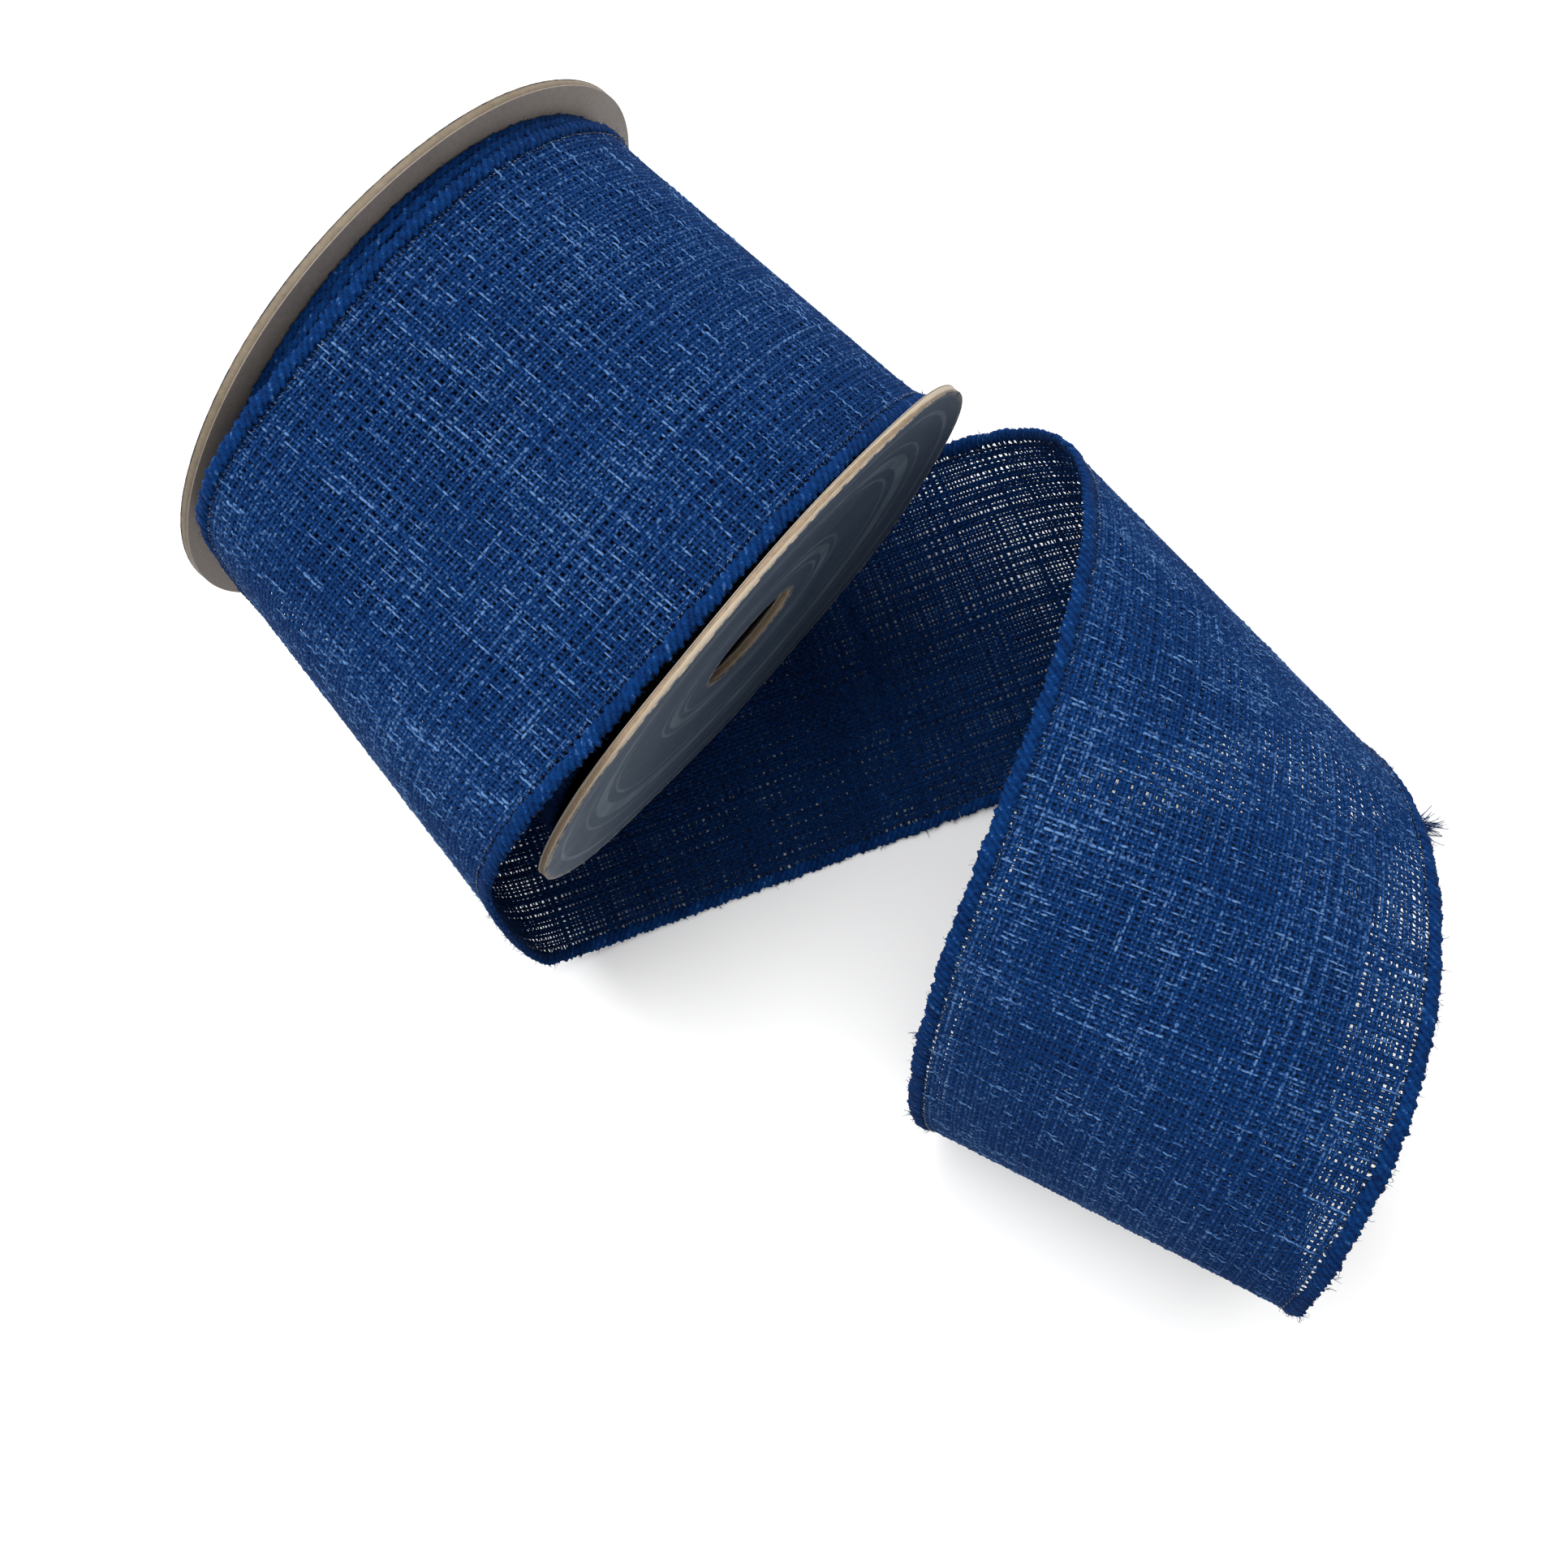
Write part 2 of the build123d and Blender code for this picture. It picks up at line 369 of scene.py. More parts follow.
def group_node(tree, group, **values):
    """A placed node group with its own values, given as plain values or sockets."""
    node = tree.nodes.new("ShaderNodeGroup")
    node.node_tree = group
    for label, value in values.items():
        feed(tree, node.inputs[label.replace("_", " ")], value)
    return node


def coordinates(tree):
    """Coordinates of the object itself, in metres."""
    return tree.nodes.new("ShaderNodeTexCoord").outputs["Object"]


def bump(tree, shader, height, distance, strength=1.0):
    """Feeds a height in metres to the shader's normal."""
    node = tree.nodes.new("ShaderNodeBump")
    node.inputs["Strength"].default_value = strength
    node.inputs["Distance"].default_value = distance
    tree.links.new(height, node.inputs["Height"])
    tree.links.new(node.outputs["Normal"], shader.inputs["Normal"])


def yarn_material(name, settings, shade=1.0, roughness=0.82):
    """Dyed yarn: matt, with a soft bloom, and uneven along its length."""
    found = bpy.data.materials.get(name)
    if found:
        return found
    material, tree, shader = new_material(name, Roughness=roughness, Sheen_Weight=0.02,
                                          Sheen_Roughness=0.5, Specular_IOR_Level=0.07)
    shader.inputs["Sheen Tint"].default_value = (0.45, 0.60, 0.90, 1.0)
    tone = tree.nodes.new("ShaderNodeAttribute")
    tone.attribute_name = "yarn_tone"
    node = group_node(tree, shared_group("Dyed Yarn", yarn_group), Tone=tone.outputs["Fac"],
                      Coordinates=coordinates(tree),
                      Shade=[c * shade for c in settings.dark],
                      Yarn=[c * shade for c in settings.mid],
                      Slub=[c * shade for c in settings.light])
    tree.links.new(node.outputs["Color"], shader.inputs["Base Color"])
    bump(tree, shader, node.outputs["Height"], 0.06 * MM, 0.8)
    return material


def wound_material(settings):
    """Dyed cloth for the turn under the loose one; the gaps of the weave are not cut but painted
    dark, as painted shade.
    """
    material = yarn_material("wound yarn", settings, 0.9, 0.9)
    tree = material.node_tree
    base = tree.nodes["Principled BSDF"].inputs["Base Color"]
    plain = base.links[0].from_socket
    where = coordinates(tree)
    x, y, z = separated(tree, where)
    across = math_node(tree, "DIVIDE", x, settings.warp_pitch)
    around = math_node(tree, "MULTIPLY", math_node(tree, "ARCTAN2", y, z),
                       PACK_OUTER * MM / settings.weft_pitch)
    gaps = []
    for count in (across, around):
        off = math_node(tree, "SUBTRACT", math_node(tree, "FRACT", count), 0.5)
        gaps.append(range_node(tree, math_node(tree, "ABSOLUTE", off), 0.26, 0.42))
    uneven = range_node(tree, noise_node(tree, where, 900.0), 0.38, 0.56, 0.25, 1.0)
    # painted shade: the gaps between yarns are darkened towards the yarn's shade colour, standing for
    # the dark layers seen through them
    hole = math_node(tree, "MULTIPLY", math_node(tree, "MULTIPLY", *gaps), uneven)
    cloth_with_painted_gap_shade = mix_node(tree, hole, plain, tuple(c * 0.6 for c in settings.dark))
    streaks = noise_node(tree, scaled(tree, where, (0.22, 1.0, 1.0)), 1900.0, 2.0)
    slub = range_node(tree, streaks, 0.62, 0.70, 0.0, 0.6)
    tree.links.new(mix_node(tree, slub, cloth_with_painted_gap_shade, tuple(settings.light)), base)
    return material


def paper_material(name, base, contrast, scale, depth, extra=None):
    """Paper or board with felted fibres; extra may change the colour before it is used."""
    found = bpy.data.materials.get(name)
    if found:
        return found
    material, tree, shader = new_material(name, Specular_IOR_Level=0.35)
    where = coordinates(tree)
    node = group_node(tree, shared_group("Paper Fibre", paper_group), Coordinates=where,
                      Colour=base, Contrast=contrast, Scale=scale)
    result = node.outputs["Color"]
    if extra:
        result = extra(tree, where, result)
    tree.links.new(result, shader.inputs["Base Color"])
    tree.links.new(node.outputs["Roughness"], shader.inputs["Roughness"])
    bump(tree, shader, node.outputs["Height"], depth)
    return material


def bore_distance(tree, where):
    """Distance from the bore's axis, in metres."""
    flat = scaled(tree, where, (0.0, 1.0, 1.0))
    node = tree.nodes.new("ShaderNodeVectorMath")
    node.operation = "LENGTH"
    tree.links.new(flat, node.inputs[0])
    return node.outputs["Value"]


def ring_mask(tree, distance, radius, half_width):
    """1 on a ring about the bore and 0 away from it."""
    off = math_node(tree, "ABSOLUTE", math_node(tree, "SUBTRACT", distance, radius))
    return range_node(tree, off, half_width, half_width + 0.12 * MM, 1.0, 0.0)


def printed_rings(settings):
    """The printed motif: plain rings, thin and thick, worn at the rim and round the hole."""
    def add(tree, where, ground):
        distance = bore_distance(tree, where)
        mask = None
        for radius, half_width in MOTIF_RINGS:
            ring = ring_mask(tree, distance, radius * MM, half_width * MM)
            mask = ring if mask is None else math_node(tree, "MAXIMUM", mask, ring)
        patchy = range_node(tree, noise_node(tree, where, 160.0, 4.0), 0.35, 0.65, 0.35, 0.85)
        mask = math_node(tree, "MULTIPLY", mask, patchy)
        printed = mix_node(tree, mask, ground, tuple(settings.print_line))
        rim = range_node(tree, distance, (FLANGE_RADIUS - 1.1) * MM, FLANGE_RADIUS * MM)
        hole = range_node(tree, distance, (BORE_RADIUS + 0.1) * MM, (BORE_RADIUS + 1.1) * MM,
                          1.0, 0.0)
        edge = math_node(tree, "MAXIMUM", rim, hole)
        chips = range_node(tree, noise_node(tree, where, 700.0, 5.0), 0.42, 0.62)
        worn = math_node(tree, "MULTIPLY", edge, chips)
        return mix_node(tree, worn, printed, tuple(settings.ply))
    return add


def board_layers(ply):
    """Cut edge of the front board: pale outer plies over a brown middle."""
    def add(tree, where, ground):
        x = separated(tree, where)[0]
        flare = range_node(tree, bore_distance(tree, where), HUB_RADIUS * MM, FLANGE_RADIUS * MM,
                           0.0, FRONT_FLARE * MM)
        depth = math_node(tree, "SUBTRACT", math_node(tree, "ABSOLUTE", x), flare)
        off = math_node(tree, "ABSOLUTE", math_node(tree, "SUBTRACT", depth, BOARD_MIDDLE * MM))
        wobble = math_node(tree, "MULTIPLY", noise_node(tree, where, 500.0), 0.3 * MM)
        outer = range_node(tree, math_node(tree, "ADD", off, wobble), 0.42 * MM, 0.52 * MM)
        return mix_node(tree, outer, ground, ply)
    return add


# ---------------------------------------------------------------- mesh helpers

def add_piece(name, points, faces, material, tone=None, smooth=True):
    """A mesh object from millimetre points, with a tone for each point if one is given.

    faces is a list of arrays, each of polygons that have the same number of corners.
    """
    mesh = bpy.data.meshes.new(name)
    points = np.asarray(points, float).reshape(-1, 3) * MM
    sizes = np.concatenate([np.full(len(block), block.shape[1]) for block in faces])
    corners = np.concatenate([block.reshape(-1) for block in faces])
    mesh.vertices.add(len(points))
    mesh.vertices.foreach_set("co", points.astype(np.float32).ravel())
    mesh.loops.add(len(corners))
    mesh.loops.foreach_set("vertex_index", corners.astype(np.int32))
    mesh.polygons.add(len(sizes))
    mesh.polygons.foreach_set("loop_start", (np.cumsum(sizes) - sizes).astype(np.int32))
    mesh.update(calc_edges=True)
    mesh.polygons.foreach_set("use_smooth", np.full(len(sizes), smooth))
    if tone is not None:
        attribute = mesh.attributes.new("yarn_tone", "FLOAT", "POINT")
        attribute.data.foreach_set("value", np.asarray(tone, np.float32).ravel())
    mesh.materials.append(material)
    piece = bpy.data.objects.new(name, mesh)
    bpy.context.scene.collection.objects.link(piece)
    return piece


def ring_quads(near, far):
    """Faces between rows of point numbers that close on themselves."""
    corners = [near, np.roll(near, -1, axis=-1), np.roll(far, -1, axis=-1), far]
    return np.stack(corners, axis=-1).reshape(-1, 4)


def tube_faces(strands, stations, around):
    """Faces of capped tubes whose points go round each station of each strand in turn."""
    index = np.arange(strands * stations * around).reshape(strands, stations, around)
    return [ring_quads(index[:, :-1], index[:, 1:]), index[:, 0, ::-1], index[:, -1]]


def strand_mesh(middle, side, up, section):
    """Points and faces of many capped tubes at once.

    middle, side and up are (strands, stations, 3); side and up already hold the half width and
    half thickness.  section is a list of (side share, up share) going round the tube.
    """
    shares = np.asarray(section, float)
    points = (middle[:, :, None] + side[:, :, None] * shares[None, None, :, :1]
              + up[:, :, None] * shares[None, None, :, 1:])
    return points.reshape(-1, 3), tube_faces(*middle.shape[:2], len(section))


YARN_SECTION = ((-1.0, -0.35), (1.0, -0.35), (0.0, 1.0))
YARN_PAINTED_LIGHT_AND_SHADE = np.array([-0.10, -0.10, 0.10])    # painted highlight along a yarn's crown, painted shade along its two lower corners
SLUB_GAIN = np.array([0.0, 0.0, 0.60])       # and a slub is bright there
THREAD_SECTION = ((-1.0, 0.0), (0.0, -1.0), (1.0, 0.0), (0.0, 1.0))


def unit(vectors):
    """Vectors at length 1."""
    return vectors / np.maximum(np.linalg.norm(vectors, axis=-1, keepdims=True), 1e-12)


def ramp(values, start, run):
    """0 up to start, 1 from a run further on, and straight between.  A run may be negative."""
    return np.clip((values - start) / run, 0.0, 1.0)


def smooth(share):
    """A 0 to 1 share, eased at both ends."""
    return share * share * (3 - 2 * share)


# ---------------------------------------------------------------- the ribbon's surface

def eased(values):
    """Values with each change spread over SMOOTHING stations, by a bell-shaped weight."""
    reach = SMOOTHING // 2
    weights = 1 + np.cos(np.pi * np.arange(-reach, reach + 1) / (reach + 1))
    padded = np.concatenate([np.full(reach, values[0]), values, np.full(reach, values[-1])])
    return np.convolve(padded, weights / weights.sum(), "valid")


def ribbon_line():
    """Stations of the ribbon's middle line: distance, place, along, across and slope."""
    back = math.radians(WRAP_BACK) * WRAP_RADIUS
    lengths, turns, leans = zip((back, WRAP_BACK, 0.0), *STRETCHES)
    marks = np.concatenate([[0.0], np.cumsum(lengths)])
    turned = np.radians(np.concatenate([[0.0], np.cumsum(turns)]))
    steps = round(marks[-1] / STATION_STEP)
    step = marks[-1] / steps
    distances = np.arange(steps + 1) * step
    bends = eased(np.diff(np.interp(distances, marks, turned)))
    slopes = eased(np.tan(np.radians(np.interp(distances, marks, (0.0, *leans)))))
    begin = math.radians(-WRAP_BACK)
    place = np.array([WRAP_SHIFT, -WRAP_RADIUS * math.sin(begin), WRAP_RADIUS * math.cos(begin)])
    along = np.array([0.0, -math.cos(begin), -math.sin(begin)])
    across = np.array([1.0, 0.0, 0.0])
    rows = []
    for i in range(steps + 1):
        rows.append((place, along, across))
        if i < steps:
            pivot = unit(across + along * slopes[i])
            turn = np.array(Matrix.Rotation(bends[i], 3, pivot.tolist()))
            new_along = turn @ along
            across = turn @ across
            place = place + (along + new_along) * (step / 2)
            along = new_along
    places, alongs, acrosses = (np.array(column) for column in zip(*rows))
    return distances - back, places, alongs, acrosses, slopes


LINE = ribbon_line()
FIRST, LAST = LINE[0][0], LINE[0][-1]
END_SLOPE = LINE[4][-1]      # how far the cut end slants, along the ribbon for each step across


def curve_at(values, slopes, distance):
    """Smooth cubic through station values, with their rates of change."""
    stations = LINE[0]
    step = stations[1] - stations[0]
    where = np.clip((distance - stations[0]) / step, 0.0, len(stations) - 1.000001)
    low = where.astype(int)
    t = (where - low)[..., None]
    a, b = values[low], values[low + 1]
    ra, rb = slopes[low] * step, slopes[low + 1] * step
    return ((2 * t ** 3 - 3 * t ** 2 + 1) * a + (t ** 3 - 2 * t ** 2 + t) * ra
            + (3 * t ** 2 - 2 * t ** 3) * b + (t ** 3 - t ** 2) * rb)


def on_ribbon(at, sideways):
    """Place, along, across and normal at a distance along and a distance sideways in the cloth.

    The cloth is flat before it bends, so a weft yarn is one distance along and a warp yarn one
    distance sideways; the bending line through the point starts somewhere else on the middle.
    """
    stations, places, alongs, acrosses, slopes = LINE
    at, sideways = np.broadcast_arrays(np.asarray(at, float), np.asarray(sideways, float))
    start = at.copy()
    for _ in range(30):      # each round takes up part of what is left
        start = 0.4 * start + 0.6 * (at - np.interp(start, stations, slopes) * sideways)
    held = np.clip(start, stations[0], stations[-1])
    step = stations[1] - stations[0]
    place = curve_at(places, alongs, held)
    along = unit(curve_at(alongs, np.gradient(alongs, step, axis=0), held))
    across = curve_at(acrosses, np.gradient(acrosses, step, axis=0), held)
    across = unit(across - along * (across * along).sum(-1, keepdims=True))
    slope = np.interp(held, stations, slopes)[..., None]
    place = place + (across + along * slope) * sideways[..., None]
    place = place + along * (start - held)[..., None]
    normal = np.cross(along, across)
    loose = smooth(ramp(at, LOOSE_END, -LOOSE_RUN))
    place = place + across * (WRAP_CREEP * loose)[..., None]
    raised = EDGE_LIFT * loose * np.exp(-((HALF_WIDTH - np.abs(sideways)) / EDGE_LIFT_REACH) ** 2)
    raised = raised - START_SINK * smooth(ramp(at, START_SINK_END, FIRST - START_SINK_END))
    place = place + normal * raised[..., None]
    return place, along, across, normal


def uneven_places(first, last, pitch, together, rng):
    """Yarn places from first to last, so many close together and then a gap."""
    count = int((last - first) / pitch)
    places = first + (np.arange(count) + 0.5) * (last - first) / count
    from_middle = np.arange(count) % together - (together - 1) / 2
    places -= BUNCHING * pitch * from_middle / together * 2
    return places + rng.normal(0.0, JITTER * pitch, count)


def between(places, low, high):
    """Places with a mid place between each two, and one before and after them all."""
    halves = (places[1:] + places[:-1]) / 2
    result = np.empty(2 * len(places) + 1)
    result[0], result[-1] = low, high
    result[1::2] = places
    result[2:-1:2] = halves
    return result


# ---------------------------------------------------------------- the ribbon's pieces

class Weave:
    """Where every yarn of the ribbon lies, with its tone, width and slubs, all drawn once.

    Its random numbers go on into the yarns' unevenness, so the pieces are made in a set order.
    """

    def __init__(self, settings):
        rng = np.random.default_rng(settings.seed)
        self.settings = settings
        inner = CLOTH_HALF + 0.1
        self.warps = uneven_places(-inner, inner, settings.warp_pitch / MM, 3, rng)
        self.wefts = uneven_places(FIRST, LAST + END_MARGIN, settings.weft_pitch / MM, 2, rng)
        self.warp_tone = np.clip(rng.normal(0.46, 0.05, len(self.warps)), 0.2, 0.8)
        self.warp_tone[1::3] += 0.08         # the middle yarn of three is made lighter
        self.weft_tone = np.clip(rng.normal(0.48, 0.055, len(self.wefts)), 0.2, 0.8)
        self.warp_thick = np.clip(rng.lognormal(0.0, 0.15, len(self.warps)), 0.65, 1.35)
        self.weft_thick = np.clip(rng.lognormal(0.0, 0.17, len(self.wefts)), 0.62, 1.4)
        area = (LAST - FIRST) * 2 * inner
        count = int(settings.slub_share * area)
        self.slubs = np.stack([rng.integers(0, len(self.wefts), count).astype(float),
                               rng.uniform(-inner, inner, count),
                               rng.uniform(0.6, 1.5, count),
                               rng.uniform(0.30, 1.0, count)], axis=1)
        streaks = int(STREAK_SHARE * area)
        self.streaks = np.stack([rng.integers(0, len(self.warps), streaks).astype(float),
                                 rng.uniform(FIRST, LAST, streaks),
                                 rng.uniform(1.0, 4.0, streaks),
                                 rng.uniform(0.2, 0.55, streaks)], axis=1)
        self.drift = rng.uniform(0.0, TURN, (len(self.wefts), 2))
        self.cut = rng.gamma(1.6, 0.55, len(self.warps))
        self.rng = rng


def slub_field(rows, columns, first_row, slubs):
    """How much slub there is at each place of some yarns: a smooth hump for each slub."""
    field = np.zeros((rows, len(columns)))
    for yarn, middle, reach, height in slubs:
        row = int(yarn) - first_row
        if 0 <= row < rows:
            off = np.abs(columns - middle) / reach
            field[row] = np.maximum(field[row], height * np.clip(1.35 - off, 0, 1) ** 0.5
                                    * (off < 1.0))
    return field


def closeness(at, sideways):
    """How closely the cloth is woven at a place, as a factor on the width of its yarns."""
    open_side = ramp(sideways, 13.0, 6.0) * ramp(at, 265.0, 20.0)
    return np.interp(at, *zip(*CLOSENESS)) - 0.13 * open_side


def half_sizes(width, thickness, thick, height):
    """Half width and half thickness of yarns, which are narrowest where they cross."""
    half_width = width / MM / 2 * thick * (1.0 - 0.10 * np.abs(height))
    return half_width, thickness / MM / 2 * (0.9 + 0.1 * thick)


def yarn_piece(name, settings, middle, side, up, tone, slubs):
    """Many yarns as one piece, with a painted highlight along their tops, painted shade along their
    lower sides, and bright on their slubs.
    """
    points, faces = strand_mesh(middle, side, up, YARN_SECTION)
    tones = tone[..., None] + YARN_PAINTED_LIGHT_AND_SHADE + slubs[..., None] * SLUB_GAIN
    return add_piece(name, points, faces, yarn_material("ribbon yarn", settings), tones.ravel())


def weft_piece(name, weave, first, last):
    """The weft yarns of one length, going over and under the warp."""
    settings = weave.settings
    chosen = np.flatnonzero((weave.wefts >= first) & (weave.wefts < last))
    columns = between(weave.warps, -WEFT_HALF, WEFT_HALF)
    at = np.repeat(weave.wefts[chosen, None], len(columns), axis=1)
    # each yarn wanders along the ribbon in two slow waves
    phase = weave.drift[chosen]
    at += 0.055 * np.sin(columns / 5.3 + phase[:, :1]) + 0.04 * np.sin(columns / 2.1 + phase[:, 1:])
    # the slanted cut ends the last yarns one after the other
    cut = LAST + END_SLOPE * columns - WEFT_SHORT
    kept = at[:, 0] < cut[0]
    at, chosen = np.minimum(at, cut)[kept], chosen[kept]
    sideways = np.broadcast_to(columns, at.shape)
    wave = np.zeros(len(columns))
    wave[1::2] = np.where(np.arange(len(weave.warps)) % 2 == 0, 1.0, -1.0)
    height = wave[None] * np.where(chosen % 2 == 0, 1.0, -1.0)[:, None]
    slubs = slub_field(len(chosen), columns, chosen[0], weave.slubs)
    place, along, _, normal = on_ribbon(at, sideways)
    lift = CROSSING_RISE * height + SLUB_RISE * slubs
    width, depth = half_sizes(settings.weft_width, settings.yarn_thickness,
                              weave.weft_thick[chosen][:, None], height)
    width = width * (1 - 0.25 * slubs) * closeness(at, sideways)
    depth = depth * (1 + 0.25 * slubs)
    # painted shade and highlight: a weft yarn's tone drops where it dips under a warp and rises where
    # it goes over
    tone = weave.weft_tone[chosen][:, None] + 0.05 * height + weave.rng.normal(0.0, 0.10, at.shape)
    return yarn_piece(name, settings, place + normal * lift[..., None], along * width[..., None],
                      normal * depth[..., None], tone, slubs)


def warp_piece(name, weave, first, last, ends):
    """The warp yarns of one length.  At the ribbon's cut end they fray past the weft."""
    settings = weave.settings
    chosen = np.flatnonzero((weave.wefts >= first) & (weave.wefts < last))
    if ends:
        chosen = chosen[weave.wefts[chosen] < LAST]
    rows = between(weave.wefts[chosen], max(first, FIRST), min(last, LAST))
    wave = np.zeros(len(rows))
    wave[1::2] = np.where(chosen % 2 == 0, -1.0, 1.0)
    height = wave[None] * np.where(np.arange(len(weave.warps)) % 2 == 0, 1.0, -1.0)[:, None]
    at = np.broadcast_to(rows, height.shape).copy()
    sideways = np.repeat(weave.warps[:, None], len(rows), axis=1)
    sideways = sideways + 0.05 * np.sin(rows / 4.1 + np.arange(len(weave.warps))[:, None] * 2.4)
    tip = np.zeros_like(at)
    if ends:
        limit = LAST + END_SLOPE * weave.warps[:, None] + (weave.cut[:, None] - 0.7)
        start = LAST - FRAY_LENGTH
        share = ramp(at, start, FRAY_LENGTH)
        at = at * (1 - share) + (start + (limit - LAST + FRAY_LENGTH) * share) * share
        tip = ramp(share, 0.93, 0.07)
    place, _, across, normal = on_ribbon(at, sideways)
    lift = CROSSING_RISE * height
    streaks = slub_field(len(weave.warps), rows, 0, weave.streaks)
    width, depth = half_sizes(settings.warp_width, settings.yarn_thickness,
                              weave.warp_thick[:, None] * (1.0 - 0.25 * tip), height)
    width = width * closeness(at, sideways)
    # painted shade and highlight: a warp yarn's tone drops where it dips under a weft and rises where
    # it goes over
    tone = weave.warp_tone[:, None] + 0.05 * height + weave.rng.normal(0.0, 0.10, at.shape)
    return yarn_piece(name, settings, place + normal * lift[..., None], -across * width[..., None],
                      normal * depth[..., None], tone + 0.1 * tip, streaks)


def rope_mesh(middle, side, up, turns, rng, around=16, lean=3.5):
    """One overlocked edge: fluffy thread wrapped round it in slanted humps.

    middle, side and up are (stations, 3), and turns counts the stitches along the edge.  A hump
    runs on for lean stitches while it goes once round, and a finer thread crosses it.
    """
    angle = np.arange(around) / around * TURN
    count = turns[:, None] + lean * angle[None] / TURN
    stitch = np.floor(count).astype(int)
    stitch -= stitch.min()
    hump = np.abs(np.sin(np.pi * count)) ** 0.8
    cross = np.abs(np.sin(np.pi * (turns[:, None] / 1.7 - 2 * angle[None] / TURN)))
    relief = hump * (0.62 + 0.38 * cross)
    size = rng.uniform(0.84, 1.16, stitch.max() + 1)[stitch]
    reach = (0.56 + 0.48 * relief) * size + rng.normal(0.0, 0.045, relief.shape)
    points = (middle[:, None] + side[:, None] * (np.cos(angle)[None, :] * reach)[..., None]
              + up[:, None] * (np.sin(angle)[None, :] * reach)[..., None])
    shade = rng.normal(0.0, 0.07, stitch.max() + 1)[stitch]
    # painted highlight and shade: the tone follows the relief, lighter on the humps and darker in the
    # pits between them
    tone = np.clip(0.08 + 0.50 * relief + shade + rng.normal(0.0, 0.04, relief.shape), 0.0, 1.0)
    return points.reshape(-1, 3), tube_faces(1, len(middle), around), tone.ravel()


def fluff_mesh(rope_points, middle, count, rng):
    """Short fibres standing off a rope of stitches at random places."""
    around = len(rope_points) // len(middle)
    chosen = rng.integers(0, len(rope_points), count)
    outwards = unit(rope_points[chosen] - middle[chosen // around])
    heading = outwards * 0.55 + rng.normal(0.0, 0.7, (count, 3))
    return fibre_mesh(rope_points[chosen] - outwards * 0.08, heading, rng,
                      rng.uniform(0.35, 1.1, count), rng.normal(0.0, 0.3, count),
                      rng.uniform(0.025, 0.05, count), 0.46, 6)


def join(parts):
    """Several (points, faces, tones) as one."""
    start = np.cumsum([0] + [len(points) for points, _, _ in parts])
    points = np.concatenate([part[0] for part in parts])
    faces = [block + shift for part, shift in zip(parts, start) for block in part[1]]
    tones = np.concatenate([part[2] for part in parts])
    return points, faces, tones


def edge_thread(settings):
    """The thread of the overlocked edges, a little brighter and rougher than the yarn."""
    return yarn_material("edge thread", settings, 1.08, 0.9)


def edge_piece(name, settings, side, first, last, rng):
    """One overlocked edge of one length, with six cross sections to a stitch."""
    pitch = settings.stitch_pitch / MM
    last = min(last, LAST + END_SLOPE * side * EDGE_MIDDLE - 0.2)
    stations = np.arange(first, last + 0.01, pitch / 6)
    wander = 0.07 * np.sin(stations / 3.7 + side) + 0.05 * np.sin(stations / 1.3)
    place, _, across, normal = on_ribbon(stations, side * EDGE_MIDDLE + wander)
    half = EDGE_WIDTH / 2 * (0.95 + 0.05 * np.sin(stations / 2.9))
    rope = rope_mesh(place, across * half[:, None], normal * (EDGE_THICK / 2), stations / pitch, rng)
    fluff = fluff_mesh(rope[0], place, int(len(stations) * FLUFF_SHARE), rng)
    points, faces, tones = join([rope, fluff])
    return add_piece(name, points, faces, edge_thread(settings), tones)


def border_piece(name, first, last, material, rng):
    """Fine clear stitches that pin down the inner border of both edges, on both faces."""
    parts = []
    share = np.linspace(0.0, 1.0, 4)
    for side in (-1.0, 1.0):
        starts = np.arange(first + 0.4, last - 0.5, BORDER_PITCH)
        for face in (1.0, -1.0):
            at = starts[:, None] + share[None] * BORDER_STITCH \
                + rng.normal(0, 0.05, (len(starts), 1))
            row = side * (BORDER_PLACE + 0.16 * share[None]) + rng.normal(0, 0.05, (len(starts), 1))
            place, _, across, normal = on_ribbon(at, row)
            arch = np.sin(np.pi * (0.15 + 0.7 * share))[None] * np.ones_like(at)
            rise = (0.20 + 0.14 * arch) * face
            swell = 0.085 * arch
            points, faces = strand_mesh(place + normal * rise[..., None], across * swell[..., None],
                                        normal * swell[..., None], THREAD_SECTION)
            parts.append((points, faces, np.zeros(len(points))))
    points, faces, _ = join(parts)
    return add_piece(name, points, faces, material)


def wire_piece(name, first, last, material):
    """The two edge wires of one length, showing only at the cut end."""
    stations = np.linspace(first, last, max(8, int((last - first) / 1.5)))
    middles, sides, ups = [], [], []
    for side in (-1, 1):
        place, _, across, normal = on_ribbon(stations, np.full(len(stations), side * WIRE_PLACE))
        middles.append(place)
        sides.append(across * WIRE_RADIUS)
        ups.append(normal * WIRE_RADIUS)
    round_section = [(math.cos(a * TURN / 8), math.sin(a * TURN / 8)) for a in range(8)]
    points, faces = strand_mesh(np.array(middles), np.array(sides), np.array(ups), round_section)
    return add_piece(name, points, faces, material)


